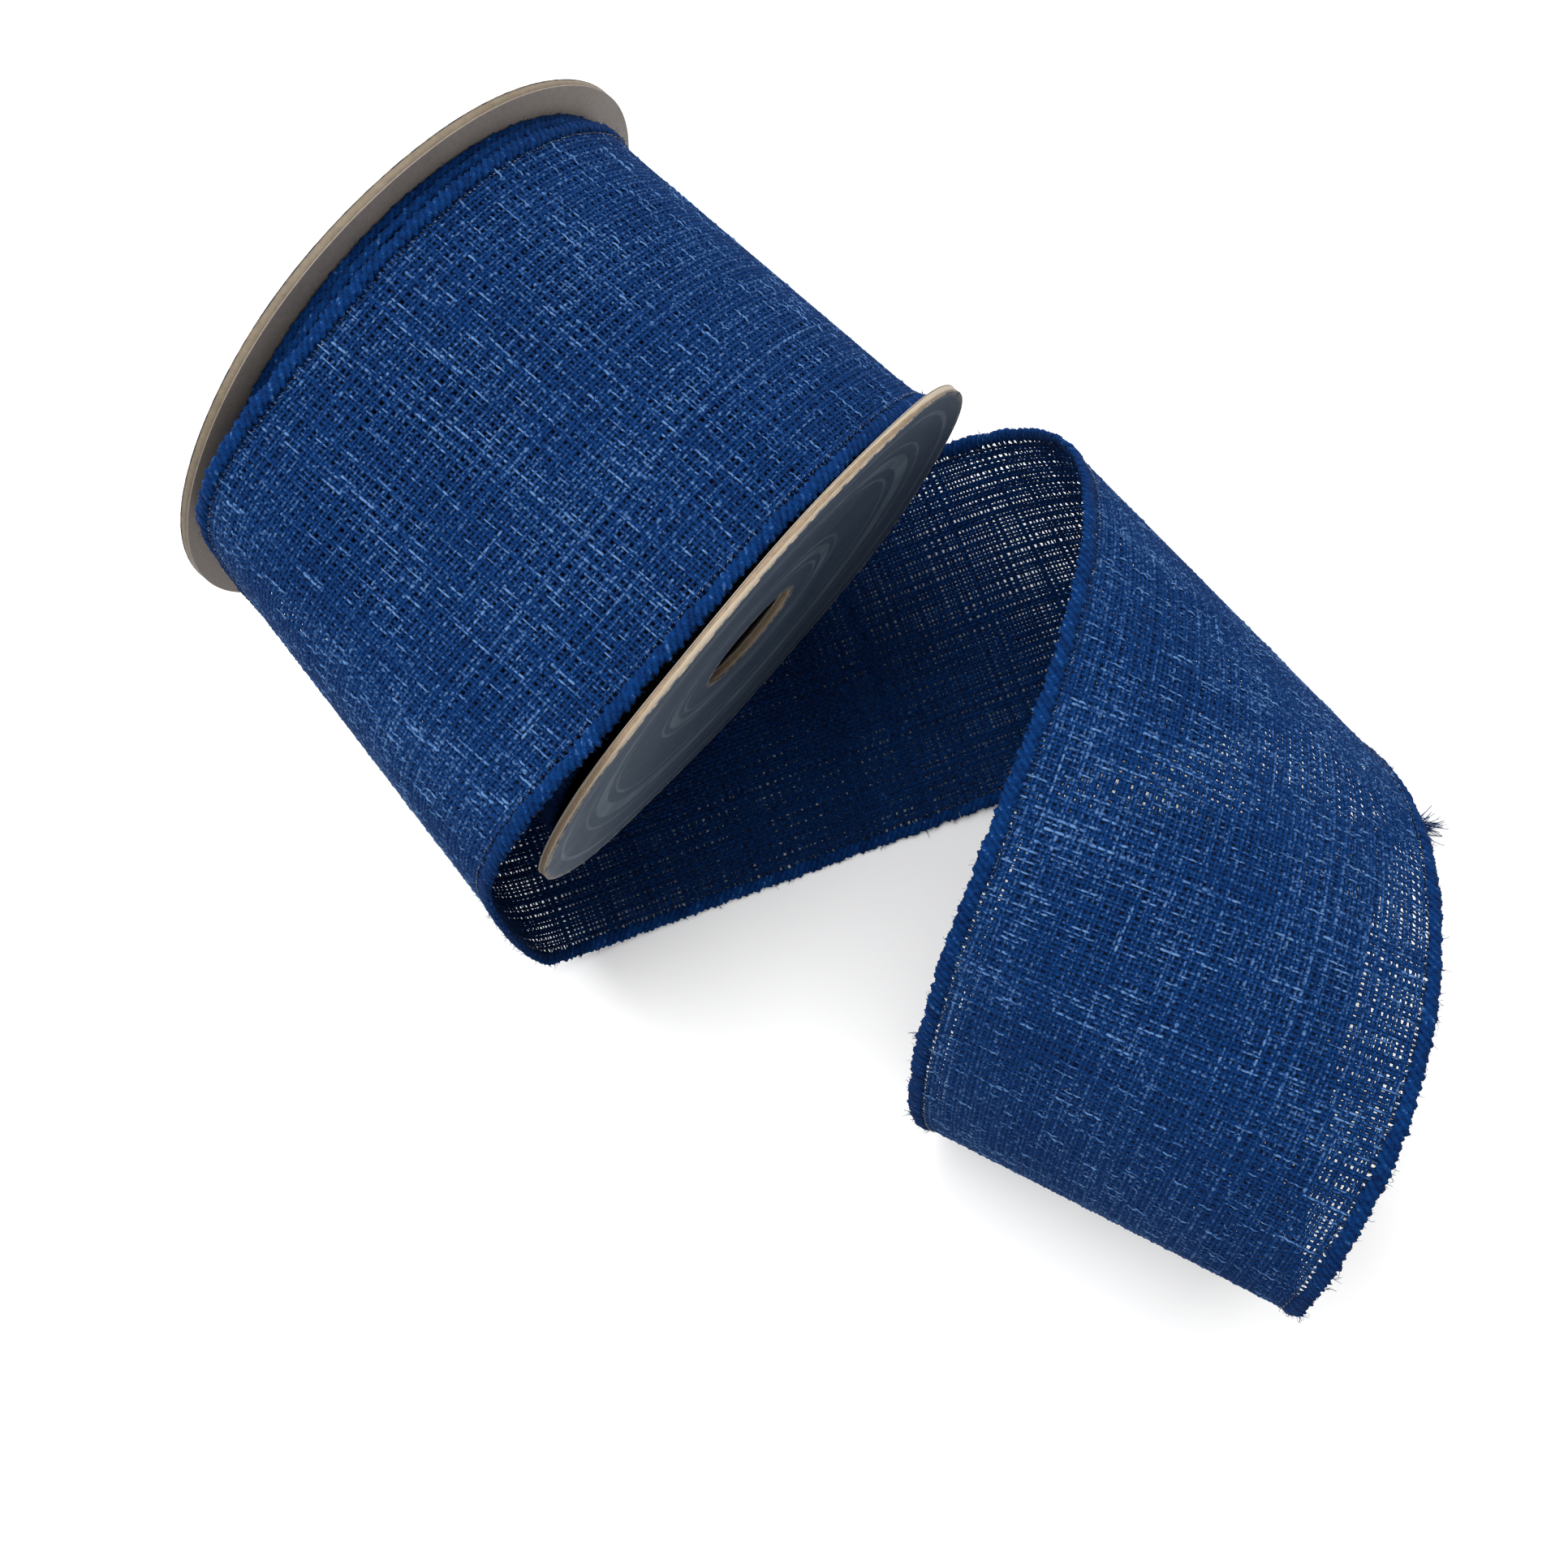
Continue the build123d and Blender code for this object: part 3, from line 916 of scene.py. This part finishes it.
def fibre_mesh(starts, heading, rng, reach, curl, width, tone=0.5, steps=9):
    """Short loose fibres that leave their starts along heading and curl about."""
    count = len(starts)
    step = (reach / (steps - 1))[:, None]
    axis = unit(rng.normal(0.0, 1.0, (count, 3)))
    rows = [starts]
    direction = unit(heading)
    for _ in range(steps - 1):
        direction = unit(direction + np.cross(axis, direction) * curl[:, None]
                         + rng.normal(0.0, 0.10, (count, 3)))
        rows.append(rows[-1] + direction * step)
    middle = np.stack(rows, axis=1)
    forward = unit(np.gradient(middle, axis=1))
    side = unit(np.cross(forward, axis[:, None] + 0.01))
    up = np.cross(side, forward)
    taper = np.linspace(1.0, 0.45, steps)[None, :, None] * width[:, None, None]
    points, faces = strand_mesh(middle, side * taper, up * taper, THREAD_SECTION)
    return points, faces, np.full(len(points), tone)


def clear_of_table(points, table):
    """Points lifted on to the table where they would be below it."""
    points = points.copy()
    points[:, 2] = np.maximum(points[:, 2], table + 0.06)
    return points


def settle(piece, length_name):
    """Makes a piece of one length of the free end follow the right body."""
    if length_name == "wrap":
        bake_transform(piece)
    else:
        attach(piece, "free_end")


# ---------------------------------------------------------------- operators

class RIBBON_OT_cloth(Operator):
    """Weave the loose turn and the free tail: warp, weft, overlocked edges and wires"""

    bl_idname = "ribbon.cloth"
    bl_label = "Weave Free Ribbon"

    def execute(self, context):
        settings = context.scene.ribbon
        weave = Weave(settings)
        rng = np.random.default_rng(settings.seed + 1)
        wire = wire_material()
        clear = clear_thread_material()
        low = FIRST
        for name, limit in LENGTHS:
            high = min(limit, LAST)
            ends = limit > LAST
            reach = high + END_MARGIN if ends else high
            weft = weft_piece(name + "_weft", weave, low, reach)
            warp = warp_piece(name + "_warp", weave, low, high, ends)
            back = edge_piece(name + "_back_overlock", settings, -1, low, reach, rng)
            front = edge_piece(name + "_front_overlock", settings, 1, low, reach, rng)
            wires = wire_piece(name + "_wires", low, high + WIRE_OUT if ends else high, wire)
            border = border_piece(name + "_border_stitches", low, high, clear, rng)
            for piece in (weft, warp, back, front, wires, border):
                settle(piece, name)
            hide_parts(name + "_cloth")
            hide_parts(name + "_back_edge")
            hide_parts(name + "_front_edge")
            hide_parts(name + "_back_wire", name + "_front_wire")
            low = high
        return {"FINISHED"}


class RIBBON_OT_fray(Operator):
    """Add the frayed corner of the cut end and the loose fibres along the edges"""

    bl_idname = "ribbon.fray"
    bl_label = "Fray Ribbon"

    def execute(self, context):
        settings = context.scene.ribbon
        rng = np.random.default_rng(settings.seed + 2)
        table = CAD_BOX[0][2] / MM
        material = yarn_material("loose fibre", settings, 0.85, 0.9)

        # fibres in threes along both edges
        count = 180
        at = np.repeat(rng.uniform(70.0, LAST - 4.0, count // 3), 3)
        side = np.repeat(rng.choice((-1.0, 1.0), count // 3), 3)
        place, along, across, normal = on_ribbon(at, side * (HALF_WIDTH - 0.2))
        heading = across * side[:, None] + along * rng.normal(0, 0.9, (count, 1)) \
            + normal * rng.normal(0, 0.5, (count, 1))
        edge = fibre_mesh(place, heading, rng, rng.gamma(2.0, 0.35, count) + 0.4,
                          rng.normal(0.0, 0.14, count), rng.uniform(0.035, 0.065, count))

        # a tuft at the corner that lies furthest out, drawn to a point beyond it
        corner = 80
        at = LAST + END_SLOPE * HALF_WIDTH
        tip, along, across, _ = on_ribbon(at, HALF_WIDTH)
        tip = tip + across * 7.4 + along * 0.8
        starts = on_ribbon(at - rng.uniform(0.0, 3.6, corner),
                           HALF_WIDTH - rng.uniform(0.0, 1.2, corner))[0]
        heading = tip - starts
        tuft = fibre_mesh(starts, heading + rng.normal(0.0, 0.35, (corner, 3)), rng,
                          np.linalg.norm(heading, axis=1) * rng.uniform(0.45, 1.05, corner),
                          rng.normal(0.0, 0.05, corner), rng.uniform(0.06, 0.13, corner))

        # single fibres along the cut
        cut = 60
        sideways = rng.uniform(-HALF_WIDTH, HALF_WIDTH, cut)
        at = LAST + END_SLOPE * sideways - 0.4
        place, along, across, normal = on_ribbon(at, sideways)
        heading = along + across * rng.normal(0.0, 0.45, (cut, 1)) \
            + normal * rng.normal(0.0, 0.25, (cut, 1))
        ends = fibre_mesh(place, heading, rng, rng.gamma(2.0, 0.7, cut) + 0.3,
                          rng.normal(0.0, 0.15, cut), rng.uniform(0.04, 0.08, cut))
        points, faces, tones = join([edge, tuft, ends])
        piece = add_piece("loose_fibres", clear_of_table(points, table), faces, material, tones)
        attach(piece, "free_end")
        return {"FINISHED"}


class RIBBON_OT_winding(Operator):
    """Build the outer turns of the winding, seen beside and through the loose turn"""

    bl_idname = "ribbon.winding"
    bl_label = "Build Winding"

    def execute(self, context):
        settings = context.scene.ribbon
        rng = np.random.default_rng(settings.seed + 3)
        half = CLOTH_HALF
        columns = int(2 * half / (settings.warp_pitch / MM)) * 2 + 1
        rows = int(TURN * PACK_OUTER / (settings.weft_pitch / MM) / 2) * 4
        x = np.linspace(-half, half, columns) + PACK_SHIFT
        turn = np.arange(rows) / rows * TURN
        checks = np.outer(np.sin(np.pi * (np.arange(rows) + 0.5) / 2),
                          np.sin(np.pi * (np.arange(columns) + 0.5) / 2))
        relief = 0.13 * checks + rng.normal(0, 0.02, (rows, columns))
        skins = []
        for radius in (PACK_OUTER + relief, np.full_like(relief, PACK_OUTER - CLOTH_THICK)):
            skins.append(np.stack([np.broadcast_to(x, radius.shape),
                                   -radius * np.sin(turn)[:, None],
                                   radius * np.cos(turn)[:, None]], axis=-1).reshape(-1, 3))
        index = np.arange(rows * columns).reshape(rows, columns)
        ahead = np.roll(index, -1, axis=0)
        skin = np.stack([index[:, :-1], index[:, 1:], ahead[:, 1:], ahead[:, :-1]], -1).reshape(-1, 4)
        lining = skin[:, ::-1] + rows * columns
        rims = []
        for column, flip in ((0, False), (columns - 1, True)):
            a, b = index[:, column], ahead[:, column]
            rim = np.stack([a, b, b + rows * columns, a + rows * columns], axis=-1)
            rims.append(rim[:, ::-1] if flip else rim)
        quads = np.concatenate([skin, lining, *rims])
        # painted highlight and shade: the outer face is lighter where the weave rises and darker
        # where it sinks, and the inner face is painted dark as shade
        tone = np.concatenate([(0.46 + 0.10 * checks + rng.normal(0, 0.06, (rows, 1))).ravel(),
                               np.full(rows * columns, 0.2)])
        cloth = add_piece("wound_outer_turn", np.concatenate(skins), [quads],
                          wound_material(settings), np.clip(tone, 0, 1))
        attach(cloth, "spool")
        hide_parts("wound_cloth")
        for side, name in ((-1, "back"), (1, "front")):
            self.wound_edge(settings, side, name, rng)
        return {"FINISHED"}

    def wound_edge(self, settings, side, name, rng):
        """The edges of the outer wound turns on one side, one coil of slanted stitches.

        The back edges of the outer two turns lie side by side, higher than the cloth, and the
        others lie one on the other.
        """
        pitch = settings.stitch_pitch / MM
        span = EDGE_TURNS * TURN
        stations = int(span * PACK_OUTER / pitch * 5)
        turn = np.linspace(0.0, span, stations)
        inwards = (span - turn) / TURN
        angle = math.radians(COIL_END) - inwards * TURN
        radial = np.stack([np.zeros_like(turn), -np.sin(angle), np.cos(angle)], axis=-1)
        outer = smooth(ramp(inwards, OUTER_TURNS, -OUTER_RUN))
        if side < 0:
            radius = PACK_OUTER + 1.0 + 0.3 * outer - PACK_PITCH * np.maximum(inwards - 2.0, 0.0)
            x = BACK_ROW + BACK_ROW_STEP * outer
            half = BACK_ROW_HALF + 0.08 * outer
        else:
            radius = PACK_OUTER - PACK_PITCH * inwards
            x = PACK_SHIFT + HALF_WIDTH - EDGE_WIDTH / 2 + FRONT_CREEP * outer
            half = np.full(stations, EDGE_WIDTH / 2)
        x = x + 0.06 * np.sin(turn * 1.7 + side) + 0.05 * np.sin(turn * 5.3)
        middle = radial * radius[:, None] + np.stack([x, 0 * x, 0 * x], axis=-1)
        across = np.array([1.0, 0.0, 0.0]) * half[:, None]
        rope = rope_mesh(middle, across, radial * 0.5, turn * PACK_OUTER / pitch, rng, around=12)
        fluff = fluff_mesh(rope[0], middle, int(stations * FLUFF_SHARE / 2), rng)
        points, faces, tone = join([rope, fluff])
        piece = add_piece("wound_" + name + "_overlock", points, faces, edge_thread(settings), tone)
        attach(piece, "spool")
        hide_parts("wound_" + name + "_edge", "wound_" + name + "_wire")


def flange_sheet(name, side, inset, thick, flare, warp, lift, material):
    """One ply of a flange: a punched disc that leans out to a waved rim, with soft edges."""
    around = 240
    turn = np.arange(around) / around * TURN
    radii = np.concatenate([[BORE_RADIUS + lift], np.linspace(BORE_RADIUS + lift + 0.15, 14.0, 6),
                            np.linspace(16.0, FLANGE_RADIUS - lift - 0.25, 22),
                            [FLANGE_RADIUS - lift - 0.08, FLANGE_RADIUS - lift]])
    wave = np.sin(2 * turn + 0.7) + 0.5 * np.sin(3 * turn + 2.1) + 0.25 * np.sin(7 * turn)
    lean = ramp(radii, HUB_RADIUS, FLANGE_RADIUS - HUB_RADIUS)
    offset = lean[:, None] * flare + warp * (lean[:, None] ** 2) * wave[None]
    soft = np.zeros(len(radii))
    soft[[0, -1]] = min(0.06, thick / 3)
    rows = []
    for depth, sign in ((inset, 1.0), (inset + thick, -1.0)):
        x = side * (HALF_GAP + depth + sign * soft[:, None] + offset)
        y = -radii[:, None] * np.sin(turn)[None]
        z = radii[:, None] * np.cos(turn)[None]
        rows.append(np.stack([x, np.broadcast_to(y, x.shape), np.broadcast_to(z, x.shape)], -1))
    count = len(radii)
    near = np.arange(count * around).reshape(count, around)
    far = near + count * around
    quads = np.concatenate([ring_quads(near[:-1], near[1:]), ring_quads(far[:-1], far[1:])[:, ::-1],
                            ring_quads(far[0], near[0]), ring_quads(near[-1], far[-1])])
    if side < 0:
        quads = quads[:, ::-1]
    points = np.concatenate([row.reshape(-1, 3) for row in rows])
    return add_piece(name, points, [quads], material)


class RIBBON_OT_flanges(Operator):
    """Build both flanges, each of a liner paper, a board and a printed face paper"""

    bl_idname = "ribbon.flanges"
    bl_label = "Build Flanges"

    def execute(self, context):
        settings = context.scene.spool
        warp = settings.warp_height / MM
        liner = paper_material("liner paper", tuple(settings.liner), 0.30, 1500.0, 0.03 * MM)
        board = paper_material("grey board", tuple(settings.board), 0.55, 900.0, 0.12 * MM,
                               board_layers(tuple(settings.ply)))
        # painted shade: the back flange's board is a darker copy of the front one
        dull = paper_material("back board", tuple(settings.shaded_back_board), 0.45, 900.0, 0.12 * MM)
        printed = paper_material("printed paper", tuple(settings.print_ground), 0.35, 1800.0,
                                 0.02 * MM, printed_rings(settings))
        for name, side, flare, wave, cut in (("front", 1, FRONT_FLARE, warp, board),
                                             ("back", -1, BACK_FLARE, warp * 0.6, dull)):
            plies = (("liner_paper", 0.0, PAPER_THICK, 0.0, liner, "liner_paper"),
                     ("flange_board", PAPER_THICK, BOARD_THICK, 0.06, cut, "greyboard"),
                     ("face_paper", PAPER_THICK + BOARD_THICK, PAPER_THICK, 0.0, printed,
                      "printed_paper"))
            for label, inset, thick, lift, material, slot in plies:
                node = name + "_" + label
                piece = flange_sheet(name + "_flange_" + label.replace("flange_", ""), side, inset,
                                     thick, flare, wave, lift, material)
                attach(piece, "spool")
                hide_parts(node)
        return {"FINISHED"}


def wire_material():
    """Soft steel wire, drawn and a little dull."""
    material, tree, shader = new_material("edge wire", Metallic=1.0)
    shader.inputs["Base Color"].default_value = (0.62, 0.62, 0.64, 1.0)
    fac = noise_node(tree, coordinates(tree), 900.0)
    tree.links.new(range_node(tree, fac, 0.3, 0.7, 0.25, 0.5), shader.inputs["Roughness"])
    return material


def clear_thread_material():
    """Fine clear thread, painted dark as the shade of the groove it lies in, with pale specks as
    painted glints.
    """
    material, tree, shader = new_material("clear thread", Roughness=0.22, Specular_IOR_Level=0.6)
    # painted highlight: pale specks stand for glints on the thread; the dark colour under them is
    # painted shade
    specks = noise_node(tree, coordinates(tree), 1500.0, 2.0)
    mask = range_node(tree, specks, 0.54, 0.62)
    tree.links.new(mix_node(tree, mask, (0.003, 0.008, 0.024), (0.16, 0.19, 0.24)),
                   shader.inputs["Base Color"])
    return material


class RIBBON_OT_core(Operator):
    """Finish the core tube, its glue and the starting tape"""

    bl_idname = "ribbon.core"
    bl_label = "Finish Core"

    def execute(self, context):
        # painted shade: the core's brown board is darkened to near black, for the shade inside the
        # bore
        tube = paper_material("core board", (0.030, 0.022, 0.016), 0.5, 700.0, 0.1 * MM)
        glue = paper_material("hot glue", (0.72, 0.66, 0.52), 0.15, 300.0, 0.15 * MM)
        tape = paper_material("starting tape", (0.70, 0.66, 0.55), 0.1, 500.0, 0.02 * MM)
        finishes = {"core_tube": tube, "front_glue_fillet": glue, "back_glue_fillet": glue,
                    "start_tape": tape}
        for node, material in finishes.items():
            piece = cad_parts[node]
            for slot in piece.material_slots:
                slot.material = material
        return {"FINISHED"}


class RIBBON_OT_stage(Operator):
    """Set the pale floor, the soft lights and the camera"""

    bl_idname = "ribbon.stage"
    bl_label = "Set Stage"

    def execute(self, context):
        settings = context.scene.stage
        scene = context.scene
        half = settings.size / 2
        low = CAD_BOX[0][2] - FLOOR_DROP
        corners = [(-half, -half), (half, -half), (half, half), (-half, half)]
        points = np.array([(x / MM, y / MM, low / MM) for x, y in corners])
        material, tree, shader = new_material("floor", Roughness=0.75, Specular_IOR_Level=0.2)
        tint = range_node(tree, noise_node(tree, coordinates(tree), 3.0), 0.3, 0.7, 0.985, 1.0)
        node = tree.nodes.new("ShaderNodeVectorMath")
        node.operation = "SCALE"
        node.inputs[0].default_value = tuple(settings.floor)
        tree.links.new(tint, node.inputs["Scale"])
        tree.links.new(node.outputs[0], shader.inputs["Base Color"])
        floor = add_piece("floor", points, [np.array([[0, 1, 2, 3]])], material, smooth=False)

        world = bpy.data.worlds.new("soft white")
        world.use_nodes = True
        background = world.node_tree.nodes["Background"]
        background.inputs["Color"].default_value = (1.0, 1.0, 1.0, 1.0)
        background.inputs["Strength"].default_value = settings.sky
        scene.world = world

        for name, place, size, power in LIGHTS:
            light = bpy.data.lights.new(name, "AREA")
            light.size = size
            light.energy = power
            lamp = bpy.data.objects.new(name, light)
            scene.collection.objects.link(lamp)
            lamp.location = place
            aim = np.array(LIGHT_AIM) - np.array(place)
            lamp.rotation_euler = look_along(aim).to_euler()

        data = bpy.data.cameras.new("camera")
        data.sensor_width = 36.0
        data.lens = settings.lens
        data.clip_start = 0.01
        camera = bpy.data.objects.new("camera", data)
        scene.collection.objects.link(camera)
        axes = zip(CAMERA_RIGHT, CAMERA_UP, np.cross(CAMERA_RIGHT, CAMERA_UP))
        turn = Matrix([[*row, 0.0] for row in axes] + [[0, 0, 0, 1]])
        camera.matrix_world = Matrix.Translation(CAMERA_PLACE) @ turn
        scene.camera = camera
        scene.view_settings.view_transform = "Standard"
        return {"FINISHED"}


def look_along(direction):
    """A rotation whose -Z points along a direction."""
    return Vector(direction.tolist()).to_track_quat("-Z", "Y")


class RIBBON_PT_panel(Panel):
    """Shows the building operators and the settings of the ribbon spool"""

    bl_idname = "RIBBON_PT_panel"
    bl_label = "Ribbon Spool"
    bl_space_type = "VIEW_3D"
    bl_region_type = "UI"
    bl_category = "Ribbon"

    def draw(self, context):
        layout = self.layout
        for operator in OPERATORS:
            layout.operator(operator.bl_idname)
        for group in ("ribbon", "spool", "stage"):
            settings = getattr(context.scene, group)
            box = layout.box()
            for name in settings.__annotations__:
                box.prop(settings, name)


GROUPS = (("ribbon", RibbonSettings), ("spool", SpoolSettings), ("stage", StageSettings))
OPERATORS = (RIBBON_OT_flanges, RIBBON_OT_core, RIBBON_OT_winding, RIBBON_OT_cloth,
             RIBBON_OT_fray, RIBBON_OT_stage)


def register():
    for name, group in GROUPS:
        bpy.utils.register_class(group)
        setattr(bpy.types.Scene, name, PointerProperty(type=group))
    for item in (*OPERATORS, RIBBON_PT_panel):
        bpy.utils.register_class(item)


def unregister():
    for item in reversed((*OPERATORS, RIBBON_PT_panel)):
        bpy.utils.unregister_class(item)
    for name, group in reversed(GROUPS):
        delattr(bpy.types.Scene, name)
        bpy.utils.unregister_class(group)


def main():
    register()
    for operator in OPERATORS:
        group, name = operator.bl_idname.split(".")
        getattr(getattr(bpy.ops, group), name)()


if __name__ == "__main__":
    main()
